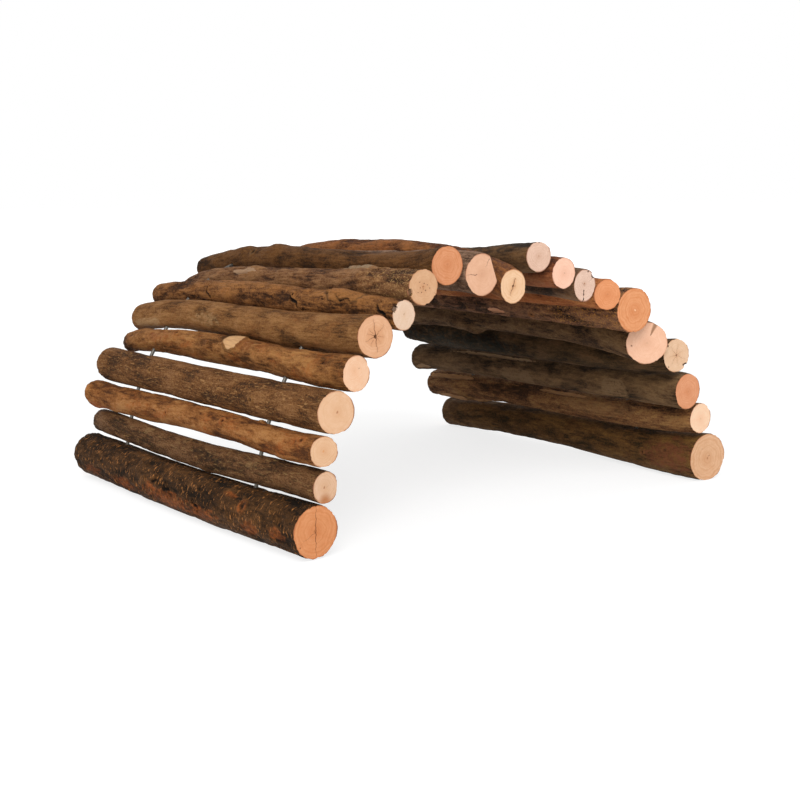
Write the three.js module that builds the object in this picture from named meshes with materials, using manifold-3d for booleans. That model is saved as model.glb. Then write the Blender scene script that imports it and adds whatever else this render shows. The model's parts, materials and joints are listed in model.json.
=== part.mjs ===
// A small animal bridge: a row of bark-covered branch logs strung on two bendable steel wires and bent to an
// arch. X runs along the bridge from log_01 to log_21, Y along the logs from their near sawn ends to their far
// ones, and Z up. The origin is on the ground under the middle. Lengths are in millimetres.

import * as THREE from 'three';
import { mergeVertices } from 'three/addons/utils/BufferGeometryUtils.js';
import Module from 'manifold-3d';

const wasm = await Module();
wasm.setup();

// Driving sizes
const logLength = 300;
const logDiameter = 24; // a middling branch, of which every log's own diameters are shares
const logGap = 0.6; // least air between two neighbouring logs
const wireDiameter = 2.5;
const holeClearance = 0.8; // how much wider than the wire its holes are drilled
const nearWireInset = 66; // from the near sawn ends to the near wire
const farWireInset = 55; // from the far sawn ends to the far wire
const hookLength = 14; // how far the wire's end is turned over along the end log
const hookClearance = 0.8; // how much wider than the wire its pocket is
const hookCover = 0.6; // how deep the turned-over end lies under the log's flat foot
const footFlatDepth = 0.6; // wood taken off under each end log, so that it stands flat
const cutOverrun = 5; // how far a cutting tool runs past the wood

const logSides = 12;
const logRings = 16;
const holeSides = 10;
const wireSides = 8;
const hookSteps = 4;
const levelRounds = 4;
const gapSteps = 40;
const searchRounds = 30;

const holeDiameter = wireDiameter + holeClearance;
const hookDepth = footFlatDepth + hookCover + wireDiameter / 2; // from the bark to the turned-over end's middle
const nearWireShare = nearWireInset / logLength;
const farWireShare = 1 - farWireInset / logLength;
const middleShare = (nearWireShare + farWireShare) / 2;
const bowShares = [0, nearWireShare, middleShare, farWireShare, 1];
const widthShares = [0, 0.5, 1];
const skewReachShare = 0.2; // how far along a log its askew near end is felt

// One row a log, in shares of logDiameter. Width is its diameter at the near end, the middle and the far end.
// Lift is how far its middle line lies outwards of the holes, and lean how far it lies towards log_21, at the
// near end, the near wire, the middle, the far wire and the far end. Shift is how far the log sits towards the
// far side. A knot is its place as a share of the log's length, its turn around the log from the outer side
// towards log_21 in degrees, its height as a share of the radius, and its length as a share of the log's. Skew
// is how askew the near end is sawn: the slope of its face, and the turn of the side that comes nearest.
const logShares = [
  {
    width: [1.3, 1.26, 1.29], lift: [-0.06, 0, 0.06, 0, 0], lean: [0.04, 0, -0.02, 0, 0.04], shift: 0,
    knots: [[0.33, 250, 0.07, 0.05], [0.66, 240, 0.06, 0.06]], skew: [0.08, 352],
  },
  {
    width: [0.78, 0.72, 0.7], lift: [-0.18, 0, 0, 0, -0.19], lean: [0.03, 0, -0.08, 0, 0], shift: 0,
    knots: [[0.4, 300, 0.08, 0.04]], skew: [0.17, 348],
  },
  {
    width: [0.75, 0.73, 0.79], lift: [0.03, 0, 0, 0, 0.18], lean: [0.03, 0, 0.05, 0, 0], shift: 0.05,
    knots: [[0.12, 310, 0.14, 0.03], [0.72, 256, 0.2, 0.12], [0.88, 290, 0.1, 0.04]], skew: [0.1, 163],
  },
  {
    width: [1.05, 1.02, 1.04], lift: [0.07, 0, 0, 0, 0], lean: [0.02, 0, -0.01, 0, 0], shift: 0,
    knots: [], skew: [0, 0],
  },
  {
    width: [0.89, 0.71, 0.63], lift: [0, 0, 0, 0, -0.27], lean: [0.02, 0, 0.1, 0, -0.12], shift: -0.02,
    knots: [[0.1, 285, 0.14, 0.03], [0.54, 345, 0.16, 0.03], [0.6, 240, 0.36, 0.22]], skew: [0.16, 326],
  },
  {
    width: [1.05, 0.95, 0.83], lift: [0.13, 0, 0, -0.02, -0.15], lean: [0.04, 0, 0, 0, -0.22], shift: -0.08,
    knots: [[0.84, 330, 0.08, 0.04]], skew: [0, 0],
  },
  {
    width: [0.75, 0.76, 0.7], lift: [-0.09, 0, 0.06, -0.03, -0.14], lean: [0.03, 0, 0, 0, -0.18], shift: -0.12,
    knots: [[0.2, 335, 0.12, 0.05], [0.62, 320, 0.08, 0.03]], skew: [0.1, 309],
  },
  {
    width: [0.9, 0.8, 0.7], lift: [0.13, 0.04, -0.04, -0.18, -0.6], lean: [0.03, 0, 0, 0, 0], shift: -0.14,
    knots: [[0.18, 350, 0.16, 0.03], [0.62, 0, 0.14, 0.04]], skew: [0, 0],
  },
  {
    width: [0.99, 0.86, 0.66], lift: [0.24, 0, 0.1, 0, -0.25], lean: [0, 0, 0, 0, -0.11], shift: 0.02,
    knots: [[0.64, 5, 0.13, 0.04], [0.8, 355, 0.16, 0.04]], skew: [0, 0],
  },
  {
    width: [1.08, 0.94, 0.88], lift: [-0.25, -0.2, -0.26, -0.22, -0.5], lean: [0, 0, 0, 0, 0], shift: 0,
    knots: [[0.5, 180, 0.1, 0.04]], skew: [0, 0],
  },
  {
    width: [0.89, 0.82, 0.78], lift: [-0.62, -0.04, 0.05, -0.24, -0.9], lean: [0.01, 0, 0, 0, 0], shift: -0.08,
    knots: [[0.6, 340, 0.1, 0.05]], skew: [0, 0],
  },
  {
    width: [0.82, 0.78, 0.8], lift: [0.22, 0, -0.04, -0.16, -0.8], lean: [-0.01, 0, 0, 0, 0], shift: 0.04,
    knots: [], skew: [0.07, 79],
  },
  {
    width: [0.85, 0.83, 0.8], lift: [-0.04, 0, 0, 0, -0.1], lean: [0.01, 0, 0, 0, 0], shift: -0.06,
    knots: [[0.35, 10, 0.1, 0.04]], skew: [0, 0],
  },
  {
    width: [0.87, 0.82, 0.8], lift: [-0.12, 0, 0, 0, 0.1], lean: [0, 0, 0, 0, 0], shift: -0.02,
    knots: [[0.7, 350, 0.12, 0.03]], skew: [0.07, 249],
  },
  {
    width: [0.86, 0.84, 0.82], lift: [-0.04, 0, 0, 0, 0.05], lean: [0, 0, 0, 0, 0], shift: 0.02,
    knots: [[0.45, 20, 0.08, 0.05]], skew: [0.23, 65],
  },
  {
    width: [1.25, 0.98, 0.95], lift: [0, 0, 0, 0, -0.1], lean: [0, 0, 0, 0, 0], shift: -0.06,
    knots: [[0.3, 340, 0.1, 0.04]], skew: [0.08, 59],
  },
  {
    width: [1.2, 0.98, 0.95], lift: [-0.34, 0, 0.08, 0, -0.25], lean: [-0.02, 0, 0, 0, 0], shift: 0.16,
    knots: [[0.66, 185, 0.26, 0.05]], skew: [0.42, 49],
  },
  {
    width: [0.99, 0.98, 0.95], lift: [0.18, 0, 0, 0, 0.1], lean: [-0.02, 0, 0, 0, 0], shift: 0.06,
    knots: [[0.55, 10, 0.1, 0.04]], skew: [0.1, 39],
  },
  {
    width: [1.06, 1.03, 0.94], lift: [-0.03, 0, 0, 0, -0.21], lean: [0, 0, 0, 0, 0.02], shift: 0.04,
    knots: [[0.75, 200, 0.08, 0.05]], skew: [0, 0],
  },
  {
    width: [0.92, 0.88, 0.94], lift: [0.18, 0, 0, 0, 0.03], lean: [-0.04, 0, 0, 0, 0.15], shift: 0.14,
    knots: [[0.86, 190, 0.14, 0.05]], skew: [0, 0],
  },
  {
    width: [1.44, 1.13, 1.06], lift: [0, 0, 0, 0, 0.26], lean: [-0.02, 0, -0.08, 0, 0.26], shift: 0.1,
    knots: [[0.1, 190, 0.06, 0.05]], skew: [0.06, 21],
  },
];

// How far the wires are bent in each gap at rest, in degrees, from the gap beside log_01 on, and how much wider
// than logGap the gap stands open, in shares of logDiameter
const gapBends = [3.5, 5.5, 8.5, 8.5, 8.5, 8.5, 10, 11.5, 11, 9, 8, 6, 4, 4, 6.5, 10, 10, 8, 5.5, 4.5];
const gapSlackShares = [
  0, 0, 0, 0, 0, 0, 0, 0.03, 0, 0.01, 0.02, 0.02, 0.01, 0.07, 0.01, 0.01, 0.03, 0.11, 0.118, 0.055,
];

const barkColours = [
  '#3b2018', '#4b382a', '#7a4f2c', '#6b523c', '#7b5230', '#6d4c2c', '#654428',
  '#5f4a38', '#4a2f1e', '#5b4a3c', '#53342a', '#3f352b', '#5a3a30', '#4a4038',
  '#6a4328', '#3c2d20', '#4f3826', '#2a2620', '#463428', '#604630', '#3a2820',
];

const knotSpread = THREE.MathUtils.degToRad(35); // half width of a knot around its log

// The smooth curve through a few values, read at one share of the log's length
function curveThrough(shares, values, share) {
  let total = 0;
  for (let i = 0; i < values.length; i += 1) {
    let weight = values[i];
    for (let j = 0; j < values.length; j += 1) {
      if (j !== i) weight *= (share - shares[j]) / (shares[i] - shares[j]);
    }
    total += weight;
  }
  return total;
}

function bow(shares, share) {
  return logDiameter * curveThrough(bowShares, shares, share);
}

function radiusAt(log, share, turn) {
  const radius = (logDiameter / 2) * curveThrough(widthShares, log.width, share);
  let swelling = 0;
  for (const [place, knotTurn, height, length] of log.knots) {
    const along = (share - place) / length;
    const angle = turn - THREE.MathUtils.degToRad(knotTurn);
    const around = Math.atan2(Math.sin(angle), Math.cos(angle)) / knotSpread;
    swelling += height * Math.exp(-along * along - around * around);
  }
  return radius * (1 + swelling);
}

// The least air between two neighbours whose hole centres lie reachA and reachB from the hinge between them
function leastGap(logA, logB, reachA, reachB, bend) {
  const hinge = new THREE.Vector2(0, 0);
  let least = Infinity;
  for (let i = 0; i <= gapSteps; i += 1) {
    const share = i / gapSteps;
    const middleA = new THREE.Vector2(bow(logA.lean, share) - reachA, bow(logA.lift, share));
    const middleB = new THREE.Vector2(bow(logB.lean, share) + reachB, bow(logB.lift, share));
    const apart = middleB.rotateAround(hinge, -bend).sub(middleA);
    const turnA = Math.atan2(apart.x, apart.y);
    const turnB = Math.atan2(-apart.x, -apart.y) - bend;
    const wood = radiusAt(logA, share, turnA) + radiusAt(logB, share, turnB);
    least = Math.min(least, apart.length() - wood);
  }
  return least;
}

// How far the hinge lies from the hole centres of the two logs beside it, so that they clear each other
function hingeReaches(logA, logB, bend, air) {
  const radiusA = radiusAt(logA, middleShare, Math.PI / 2);
  const radiusB = radiusAt(logB, middleShare, -Math.PI / 2);
  const shareA = radiusA / (radiusA + radiusB);
  let tight = 0;
  let loose = 2 * (radiusA + radiusB);
  for (let i = 0; i < searchRounds; i += 1) {
    const pitch = (tight + loose) / 2;
    if (leastGap(logA, logB, pitch * shareA, pitch * (1 - shareA), bend) < air) tight = pitch;
    else loose = pitch;
  }
  return [loose * shareA, loose * (1 - shareA)];
}

function toSolid(geometry) {
  const bare = geometry.clone();
  bare.deleteAttribute('normal');
  bare.deleteAttribute('uv');
  const merged = mergeVertices(bare);
  const vertProperties = new Float32Array(merged.attributes.position.array);
  const triVerts = new Uint32Array(merged.index.array);
  return new wasm.Manifold(new wasm.Mesh({ numProp: 3, vertProperties, triVerts }));
}

function toGeometry(solid) {
  const mesh = solid.getMesh();
  const geometry = new THREE.BufferGeometry();
  geometry.setAttribute('position', new THREE.BufferAttribute(new Float32Array(mesh.vertProperties), 3));
  geometry.setIndex(new THREE.BufferAttribute(new Uint32Array(mesh.triVerts), 1));
  geometry.computeVertexNormals();
  return geometry;
}

// How far a point comes nearer because the near end is sawn askew
function nearer(log, share, turn, radius) {
  const [slope, nearestTurn] = log.skew;
  const fade = Math.max(0, 1 - share / skewReachShare);
  return slope * radius * Math.cos(turn - THREE.MathUtils.degToRad(nearestTurn)) * fade;
}

// The uncut branch: a unit cylinder along Y, widened and bowed ring by ring
function branchGeometry(log) {
  const geometry = new THREE.CylinderGeometry(1, 1, 1, logSides, logRings);
  const places = geometry.attributes.position;
  for (let i = 0; i < places.count; i += 1) {
    const share = places.getY(i) + 0.5;
    const across = Math.hypot(places.getX(i), places.getZ(i));
    const turn = Math.atan2(places.getX(i), places.getZ(i));
    const radius = across * radiusAt(log, share, turn);
    const x = bow(log.lean, share) + radius * Math.sin(turn);
    const z = bow(log.lift, share) + radius * Math.cos(turn);
    const y = (share - 0.5) * logLength + log.shift * logDiameter - nearer(log, share, turn, radius);
    places.setXYZ(i, x, y, z);
  }
  return geometry;
}

function holeCutter(place) {
  const length = 2 * (logDiameter + cutOverrun);
  const hole = new THREE.CylinderGeometry(holeDiameter / 2, holeDiameter / 2, length, holeSides);
  hole.rotateZ(Math.PI / 2);
  hole.translate(0, place, 0);
  return toSolid(hole);
}

// How far a wire's turned-over end lies from the hole centre of its end log, on the side away from the next log
function hookOffset(log, outward) {
  return radiusAt(log, middleShare, (outward * Math.PI) / 2) - hookDepth;
}

// The pocket for a turned-over end runs from the hole towards the middle of the log
function pocketCutter(log, outward, place) {
  const width = wireDiameter + hookClearance;
  const depth = width / 2 + hookDepth + cutOverrun;
  const length = holeDiameter / 2 + hookLength + hookClearance / 2;
  const pocket = new THREE.BoxGeometry(depth, length, width);
  const x = outward * (hookOffset(log, outward) + (depth - width) / 2);
  pocket.translate(x, place - Math.sign(place) * (length - holeDiameter) / 2, 0);
  return toSolid(pocket);
}

// The ground, seen from a log that already stands in its place
function groundCutter(log) {
  const ground = new THREE.BoxGeometry(2 * logLength, 2 * logLength, logLength);
  ground.translate(log.position.x, 0, -logLength / 2);
  ground.applyMatrix4(log.matrixWorld.clone().invert());
  return toSolid(ground);
}

function barkMaterial(color) {
  return new THREE.MeshStandardMaterial({ color, roughness: 0.85, metalness: 0 });
}

function nodeNumber(index) {
  return String(index + 1).padStart(2, '0');
}

const wirePlaces = [nearWireShare, farWireShare].map((share) => (share - 0.5) * logLength);
const lastIndex = logShares.length - 1;
const crownIndex = lastIndex / 2;

const logs = logShares.map((log, index) => {
  const mesh = new THREE.Mesh(branchGeometry(log), barkMaterial(barkColours[index]));
  mesh.name = `log_${nodeNumber(index)}`;
  return mesh;
});

// From the crown down to each foot, every hinge carries the next log. Turning a hinge bends the bridge there.
const hinges = gapBends.map((degrees, index) => {
  const bend = THREE.MathUtils.degToRad(degrees);
  const air = logGap + logDiameter * gapSlackShares[index];
  const [reachA, reachB] = hingeReaches(logShares[index], logShares[index + 1], bend, air);
  const side = index < crownIndex ? -1 : 1;
  const inner = side < 0 ? logs[index + 1] : logs[index];
  const outer = side < 0 ? logs[index] : logs[index + 1];
  const hinge = new THREE.Group();
  hinge.name = `bend_${nodeNumber(index)}`;
  hinge.position.x = side < 0 ? -reachB : reachA;
  hinge.rotation.y = side * bend;
  outer.position.x = side < 0 ? -reachA : reachB;
  inner.add(hinge);
  hinge.add(outer);
  return hinge;
});

const arch = new THREE.Group();
arch.add(logs[crownIndex]);
const feet = [logs[0], logs[lastIndex]];

function footBoxes() {
  arch.updateMatrixWorld(true);
  return feet.map((foot) => {
    const box = new THREE.Box3();
    const corner = new THREE.Vector3();
    const places = foot.geometry.attributes.position;
    for (let i = 0; i < places.count; i += 1) {
      box.expandByPoint(corner.fromBufferAttribute(places, i).applyMatrix4(foot.matrixWorld));
    }
    return box;
  });
}

// Turn the arch until both end logs reach equally low, then set it down over the origin
for (let i = 0; i < levelRounds; i += 1) {
  const [left, right] = footBoxes();
  arch.rotation.y += Math.atan2(right.min.z - left.min.z, right.min.x - left.max.x);
}
const [leftBox, rightBox] = footBoxes();
const allLogs = new THREE.Box3().setFromObject(arch, true);
arch.position.x = -(allLogs.min.x + allLogs.max.x) / 2;
arch.position.y = -(allLogs.min.y + allLogs.max.y) / 2;
arch.position.z = -(leftBox.min.z + rightBox.min.z) / 2 - footFlatDepth;
arch.updateMatrixWorld(true);

// Drill every log, and give the end logs their pockets and flat feet
logs.forEach((mesh, index) => {
  let solid = toSolid(mesh.geometry);
  for (const place of wirePlaces) {
    solid = solid.subtract(holeCutter(place));
    if (index === 0) solid = solid.subtract(pocketCutter(logShares[index], -1, place));
    if (index === lastIndex) solid = solid.subtract(pocketCutter(logShares[index], 1, place));
  }
  if (feet.includes(mesh)) solid = solid.subtract(groundCutter(mesh));
  mesh.geometry = toGeometry(solid);
});

// A route whose own points are the stations of the wire
class WireRoute extends THREE.Curve {
  constructor(points) {
    super();
    this.points = points;
  }

  getPoint(share, target = new THREE.Vector3()) {
    const last = this.points.length - 1;
    const index = Math.min(Math.floor(share * last), last - 1);
    return target.lerpVectors(this.points[index], this.points[index + 1], share * last - index);
  }

  getUtoTmapping(share) {
    return share;
  }
}

// The turned-over end of a wire in its end log, from the straight run to the tip
function hookPoints(mesh, log, outward, place) {
  const radius = holeDiameter / 2;
  const offset = hookOffset(log, outward);
  const towardsMiddle = -Math.sign(place);
  const points = [];
  for (let i = 0; i <= hookSteps; i += 1) {
    const angle = (i / hookSteps) * (Math.PI / 2);
    const x = outward * (offset - radius + radius * Math.sin(angle));
    const y = place + towardsMiddle * radius * (1 - Math.cos(angle));
    points.push(new THREE.Vector3(x, y, 0));
  }
  points.push(new THREE.Vector3(outward * offset, place + towardsMiddle * hookLength, 0));
  return points.map((point) => point.applyMatrix4(mesh.matrixWorld));
}

// In every gap the wire bends over a length of two gaps
function bendPoints(hinge, index, place) {
  const bend = new THREE.Vector3(0, place, 0).applyMatrix4(hinge.matrixWorld);
  return [logs[index], logs[index + 1]].map((mesh) => {
    const hole = new THREE.Vector3(0, place, 0).applyMatrix4(mesh.matrixWorld);
    return hole.sub(bend).setLength(logGap).add(bend);
  });
}

function wireMesh(name, place) {
  const points = hookPoints(logs[0], logShares[0], -1, place).reverse();
  hinges.forEach((hinge, index) => points.push(...bendPoints(hinge, index, place)));
  points.push(...hookPoints(logs[lastIndex], logShares[lastIndex], 1, place));
  const section = new THREE.Shape().absarc(0, 0, wireDiameter / 2, 0, 2 * Math.PI);
  const geometry = new THREE.ExtrudeGeometry(section, {
    steps: points.length - 1,
    curveSegments: wireSides / 2,
    extrudePath: new WireRoute(points),
  });
  const steel = new THREE.MeshStandardMaterial({ color: '#8f9194', roughness: 0.4, metalness: 1 });
  const mesh = new THREE.Mesh(geometry, steel);
  mesh.name = name;
  return mesh;
}

const bridge = new THREE.Group();
bridge.add(arch, wireMesh('near_wire', wirePlaces[0]), wireMesh('far_wire', wirePlaces[1]));

export default bridge;
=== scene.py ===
import json
import random
from math import copysign, cos, pi, radians, sin

import bmesh
import bpy
import numpy as np
from mathutils import Matrix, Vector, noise


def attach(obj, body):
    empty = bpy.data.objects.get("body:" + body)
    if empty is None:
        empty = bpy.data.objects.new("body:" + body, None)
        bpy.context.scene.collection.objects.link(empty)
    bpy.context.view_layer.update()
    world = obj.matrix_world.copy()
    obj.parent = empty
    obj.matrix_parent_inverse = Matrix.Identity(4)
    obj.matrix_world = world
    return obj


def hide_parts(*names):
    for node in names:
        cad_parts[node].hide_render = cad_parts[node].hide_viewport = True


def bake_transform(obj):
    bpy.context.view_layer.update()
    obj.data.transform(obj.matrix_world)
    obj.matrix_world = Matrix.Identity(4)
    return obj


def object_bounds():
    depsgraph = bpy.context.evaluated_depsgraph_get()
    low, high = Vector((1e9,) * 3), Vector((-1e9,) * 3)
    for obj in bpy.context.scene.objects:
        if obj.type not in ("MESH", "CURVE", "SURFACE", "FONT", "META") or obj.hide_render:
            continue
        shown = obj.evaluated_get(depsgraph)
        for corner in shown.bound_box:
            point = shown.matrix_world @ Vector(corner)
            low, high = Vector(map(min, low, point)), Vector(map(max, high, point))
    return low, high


# A small animal bridge of branch logs on two wires. Shapes are worked out in millimetres and made in metres.
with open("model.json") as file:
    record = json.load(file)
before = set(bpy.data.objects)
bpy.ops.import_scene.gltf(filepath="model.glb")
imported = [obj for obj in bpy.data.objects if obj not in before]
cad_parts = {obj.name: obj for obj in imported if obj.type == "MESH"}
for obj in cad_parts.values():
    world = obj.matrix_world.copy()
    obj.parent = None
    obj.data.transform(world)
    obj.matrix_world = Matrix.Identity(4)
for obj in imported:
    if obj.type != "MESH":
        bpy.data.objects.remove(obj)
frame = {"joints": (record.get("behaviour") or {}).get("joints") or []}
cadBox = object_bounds()
bpy.ops.object.select_all(action="DESELECT")
mm = 0.001

# The camera, where the photographer stood
stand = dict(place=(-0.5583, -0.7507, 0.2007), lookDown=8.73, turnRight=36.74, roll=-0.435, lens=58.5,
             sensor=36, nearest=0.01, furthest=50)
bpy.ops.object.camera_add()
camera = bpy.context.object
camera.data.lens, camera.data.sensor_width = stand["lens"], stand["sensor"]
camera.data.clip_start, camera.data.clip_end = stand["nearest"], stand["furthest"]
camera.matrix_world = (
    Matrix.Translation(stand["place"])
    @ Matrix.Rotation(radians(-stand["turnRight"]), 4, "Z")
    @ Matrix.Rotation(radians(90 - stand["lookDown"]), 4, "X")
    @ Matrix.Rotation(radians(stand["roll"]), 4, "Z")
)
bpy.context.scene.camera = camera
bpy.context.scene.view_settings.view_transform = "Standard"
print("camera placed")


# Helpers for materials. They build on the node tree that is on the bench.
bench = {}


def paint(code):  # a written colour as Blender wants it
    parts = [int(code[i:i + 2], 16) / 255 for i in (1, 3, 5)]
    return [*[p / 12.92 if p <= 0.04045 else ((p + 0.055) / 1.055) ** 2.4 for p in parts], 1]


def link(value, socket):
    bench["tree"].links.new(value, socket)


def add(kind, inputs=None, **settings):  # an input is another node's socket, a value or a written colour
    made = bench["tree"].nodes.new("ShaderNode" + kind)
    for name, value in settings.items():
        setattr(made, name, value)
    for socket, value in (inputs or {}).items():
        if isinstance(value, bpy.types.NodeSocket):
            link(value, made.inputs[socket])
        else:
            made.inputs[socket].default_value = paint(value) if isinstance(value, str) else value
    return made


def sums(operation, first, second=0):
    return add("Math", {0: first, 1: second}, operation=operation).outputs[0]


def plus(first, *others):
    for other in others:
        first = sums("ADD", first, other)
    return first


def times(first, second):
    return sums("MULTIPLY", first, second)


def stretched(vector, stretch):
    return add("VectorMath", {0: vector, 1: stretch}, operation="MULTIPLY").outputs[0]


def turnedBy(vector, angle):  # turned about the branch
    return add("VectorRotate", {"Vector": vector, "Angle": angle}, rotation_type="Y_AXIS").outputs[0]


def grainy(vector, scale, detail=4, roughness=0.6, distortion=0):
    values = {"Vector": vector, "Scale": scale, "Detail": detail, "Roughness": roughness}
    return add("TexNoise", {**values, "Distortion": distortion}).outputs["Fac"]


def patchyOf(vector, scale):
    return grainy(vector, scale, 4, 0.62)


def spread(value, low, high, start=0, end=1):
    values = {"Value": value, "From Min": low, "From Max": high, "To Min": start, "To Max": end}
    return add("MapRange", values).outputs[0]


def mixed(factor, first, second):
    return add("Mix", {0: factor, 6: first, 7: second}, data_type="RGBA").outputs[2]


def attribute(name, output="Fac"):
    return add("Attribute", attribute_name=name).outputs[output]


def swing(value, strength):  # a pattern around nought instead of around a half
    return times(sums("SUBTRACT", value, 0.5), strength)


def newFinish(name):
    finish = bpy.data.materials.new(name)
    finish.use_nodes = True
    bench["tree"] = finish.node_tree
    return finish, finish.node_tree.nodes["Principled BSDF"]


def cover(shader, colour, roughness, height, relief):
    bump = add("Bump", {"Height": height, "Distance": relief[0] * mm, "Strength": relief[1]})
    for socket, value in (("Base Color", colour), ("Roughness", roughness), ("Normal", bump.outputs[0])):
        link(value, shader.inputs[socket])


# Barks. How strong each kind of pattern is: streaks along the branch, wide blotches, patches as large as a
# thumbnail, fine specks, light fibres, dark pits, warm patches, and the short pale pores that lie across it.
barks = dict(
    cherry=(0.5, 0.5, 0.7, 0.8, 0.1, 0.8, 0.25, 0.95), ash=(0.7, 0.3, 0.25, 1.2, 0.8, 0.2, 0.1, 0),
    hazel=(0.6, 0.55, 0.6, 0.7, 0.25, 0.25, 0.6, 0.1), olive=(0.8, 0.36, 0.32, 0.7, 0.4, 0.15, 0.3, 0),
    flaked=(0.6, 0.5, 0.65, 0.9, 0.2, 0.3, 0.4, 0), brown=(0.7, 0.5, 0.5, 0.9, 0.3, 0.3, 0.35, 0.05),
    speckled=(0.6, 0.6, 0.8, 0.9, 0.1, 0.6, 0.3, 0.2), smooth=(0.6, 0.6, 0.5, 0.6, 0.15, 0.25, 0.2, 0.05),
)
# What a pattern is drawn out by along the branch (less is longer), then its scale, detail, roughness and
# distortion. The lines are the grain of wood that lost its bark.
barkPatterns = dict(
    streaks=(0.13, 620, 6, 0.7, 0.25), blotches=(0.42, 62, 6, 0.66, 0.6), patches=(0.45, 190, 6, 0.7, 0.9),
    specks=(0.5, 1250, 4, 0.75), fibres=(0.17, 1000, 4, 0.62, 0.4), warms=(0.5, 105, 6, 0.72, 0.5),
    pits=(0.33, 400, 5, 0.72, 0.7), pores=(2.4, 260, 3, 0.6, 0.5), lines=(0.07, 900, 4, 0.6),
)
# The relief of each finish is its depth in millimetres and its strength. Gloss is the specular level.
# The hollow colours are painted shade: near black laid into splits, holes, knot eyes, stub rims and under
# lifted bark, and into the open cracks, pits and notches of the sawn faces.
barkCoat = dict(relief=(1.4, 1), gloss=0.14, hollow="#120a06", bareGrain="#8a5a35", toneEnds=(0.15, 0.9))
sawnCoat = dict(relief=(0.4, 0.6), gloss=0.2, hollow="#3a2010", stain="#a8642f", rim="#86543a",
                crack="#4f2a16", ingrown="#8a6446", pith=(0.8, 0.4), heart=(6, 1.2), edgeFray=1.4)
steelCoat = dict(relief=(0.05, 0.4), dark="#4d4843", light="#7a756e", roughness=(0.34, 0.55))


def barkFinish(name, log):
    streak, blotch, patch, speck, fibre, pit, warm, pore = barks[log["bark"]]
    tones = log["tones"].split()
    finish, shader = newFinish(name)
    grain, rim = attribute("grain", "Vector"), attribute("rim")
    rough = grainy(grain, 430, 5, 0.72)
    streaks, blotches, patches, specks, fibres, warms, pits, pores, lines = (
        grainy(stretched(grain, (1, along, 1)), *values) for along, *values in barkPatterns.values())

    tone = plus(swing(streaks, streak * 1.8), swing(blotches, blotch * 2), swing(patches, patch * 2),
                swing(specks, speck * 1.6), spread(rim, -0.2, 0.6, 0.66, 0.22))  # painted shade: places sunk below the bark are darker
    ramp = add("ValToRGB", {0: tone})
    stops = ramp.color_ramp.elements
    stops[0].position, stops[1].position = barkCoat["toneEnds"]
    stops[0].color, stops[1].color = paint(tones[0]), paint(tones[2])
    stops.new(0.5).color = paint(tones[1])

    fibreTone = log.get("fibre", tones[2])
    surface = mixed(spread(fibres, 0.56, 0.66, 0, fibre), ramp.outputs[0], fibreTone)
    broken = spread(rough, 0.38, 0.58, 0.25, 1)
    warmth = times(spread(warms, 0.52, 0.63, 0, warm), broken)
    surface = mixed(warmth, surface, log["warm"])
    surface = mixed(spread(pits, 0.42, 0.33, 0, pit), surface, tones[0])
    lenses = times(spread(pores, 0.585, 0.64, 0, pore), spread(patches, 0.38, 0.5, 0.35))
    surface = mixed(lenses, surface, log["pore"])
    if "gold" in log:  # golden specks on a stretch of the branch
        start, end = (share * branch["length"] * mm for share in log["gold"])
        along = add("SeparateXYZ", {0: grain}).outputs["Y"]
        where = times(spread(along, start - 0.02, start), spread(along, end, end + 0.03, 1, 0))
        golden = times(spread(specks, 0.56, 0.6, 0, 0.95), spread(patches, 0.38, 0.5))
        surface = mixed(times(golden, where), surface, log["goldCode"])
    fibrous = times(broken, spread(streaks, 0.36, 0.6, 0.35, 1))
    shade = log["tint"]
    if "tintDark" in log:
        shade = mixed(spread(patches, 0.35, 0.62), log["tintDark"], shade)
    surface = mixed(times(attribute("tint"), fibrous), surface, shade)

    bareWood = mixed(spread(lines, 0.32, 0.68, 0, 0.5), log["bare"], barkCoat["bareGrain"])
    bare = plus(attribute("bare"), times(rough, 0.5))
    surface = mixed(spread(bare, 0.62, 0.86), surface, bareWood)
    # painted shade: near black where a mark is hollow
    surface = mixed(attribute("hollow"), surface, barkCoat["hollow"])
    height = plus(times(streaks, 0.7), times(specks, 0.35), times(plus(lenses, pits), 0.5))
    cover(shader, surface, spread(tone, 0.2, 0.8, 0.92, 0.7), height, barkCoat["relief"])
    shader.inputs["Specular IOR Level"].default_value = barkCoat["gloss"]
    return finish


# How a crack in a sawn face wanders: how quickly, how far in millimetres, and where the wave starts
crackWaves = ((1.1, 0.22, 1), (2.7, 0.1, 2))
# A crack that starts outside fromRim, a share of the radius, is widest at its outer end. One wider than
# gaping, in millimetres, is cut into the wood. One wider than ingrown is only painted, and wanders less.
crackShape = dict(fromRim=0.3, gaping=0.5, ingrown=1, calm=0.2, wide=0.55, narrow=0.12, fray=0.4, fade=0.4)


def crackLine(flat, crack, log):  # a fine crack in a sawn face, one on the crack and nought beside it
    angle, start, end, width = crack
    size = branch["size"] / 2 * log["width"][0] * mm
    parts = add("SeparateXYZ", {0: turnedBy(flat, -radians(angle + log["turn"]))}).outputs
    side, along = parts["X"], parts["Z"]
    for rate, most, turns in crackWaves:
        phase = plus(times(along, rate / mm), radians(angle * turns))
        sway = (crackShape["calm"] if width > crackShape["ingrown"] else 1) * most * mm
        side = sums("SUBTRACT", side, times(sums("SINE", phase), sway))
    side = plus(side, swing(grainy(flat, 900, 3, 0.7), crackShape["fray"] * mm))
    side = sums("ABSOLUTE", side)
    widths = [width * mm * crackShape["wide"], width * mm * crackShape["narrow"]]
    if start > crackShape["fromRim"]:
        widths.reverse()
    first, last, fade = start * size, end * size, crackShape["fade"] * mm
    line = spread(sums("DIVIDE", side, spread(along, first, last, *widths)), 1.5, 0.6)
    line = times(line, spread(along, first - fade, first))
    return times(line, spread(along, last, last + fade, 1, 0))


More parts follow.
